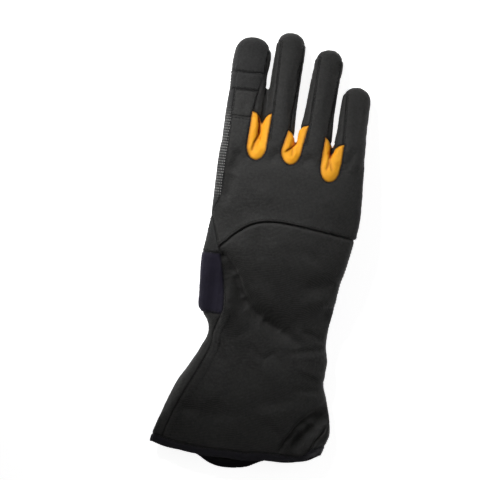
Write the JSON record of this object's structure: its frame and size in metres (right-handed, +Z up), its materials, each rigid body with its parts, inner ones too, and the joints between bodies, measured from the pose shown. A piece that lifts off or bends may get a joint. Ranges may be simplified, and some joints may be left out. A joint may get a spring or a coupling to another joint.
{
  "type": "gardening glove",
  "caption": "Right-hand gardening glove with a flared gauntlet cuff, stretch gussets between the fingers, an elastic wrist and a suede palm, lying palm down.",
  "frame": {"origin": "middle of the glove's bounding box, on the floor it lies on", "axes": "+Y from the hem to the fingertips, +X towards the little finger, +Z up from the palm's side to the back of the hand"},
  "size_m": [0.1388, 0.3362, 0.0406],
  "materials": {
    "softshell": "matt charcoal woven softshell",
    "suede": "matt dark grey synthetic suede",
    "stretch": "bright orange stretch knit, slight sheen",
    "elastic": "dark navy ribbed elastic",
    "braid": "black woven binding tape"
  },
  "bodies": {
    "root": {"back_panel": "softshell", "cuff_back": "softshell", "cuff_palm": "softshell", "palm_panel": "suede", "palm_patch": "suede", "thumb_side_panel": "suede", "thumb_back": "softshell", "thumb_pad": "suede", "index_cap": "suede", "index_band": "suede", "heel_band": "suede", "side_strip_index": "softshell", "side_strip_middle_inner": "softshell", "side_strip_middle_outer": "softshell", "side_strip_ring_inner": "softshell", "side_strip_ring_outer": "softshell", "side_strip_little": "softshell", "gusset_index_middle": "stretch", "gusset_middle_ring": "stretch", "gusset_ring_little": "stretch", "elastic_panel": "elastic", "hem_binding": "braid"}
  },
  "joints": []
}
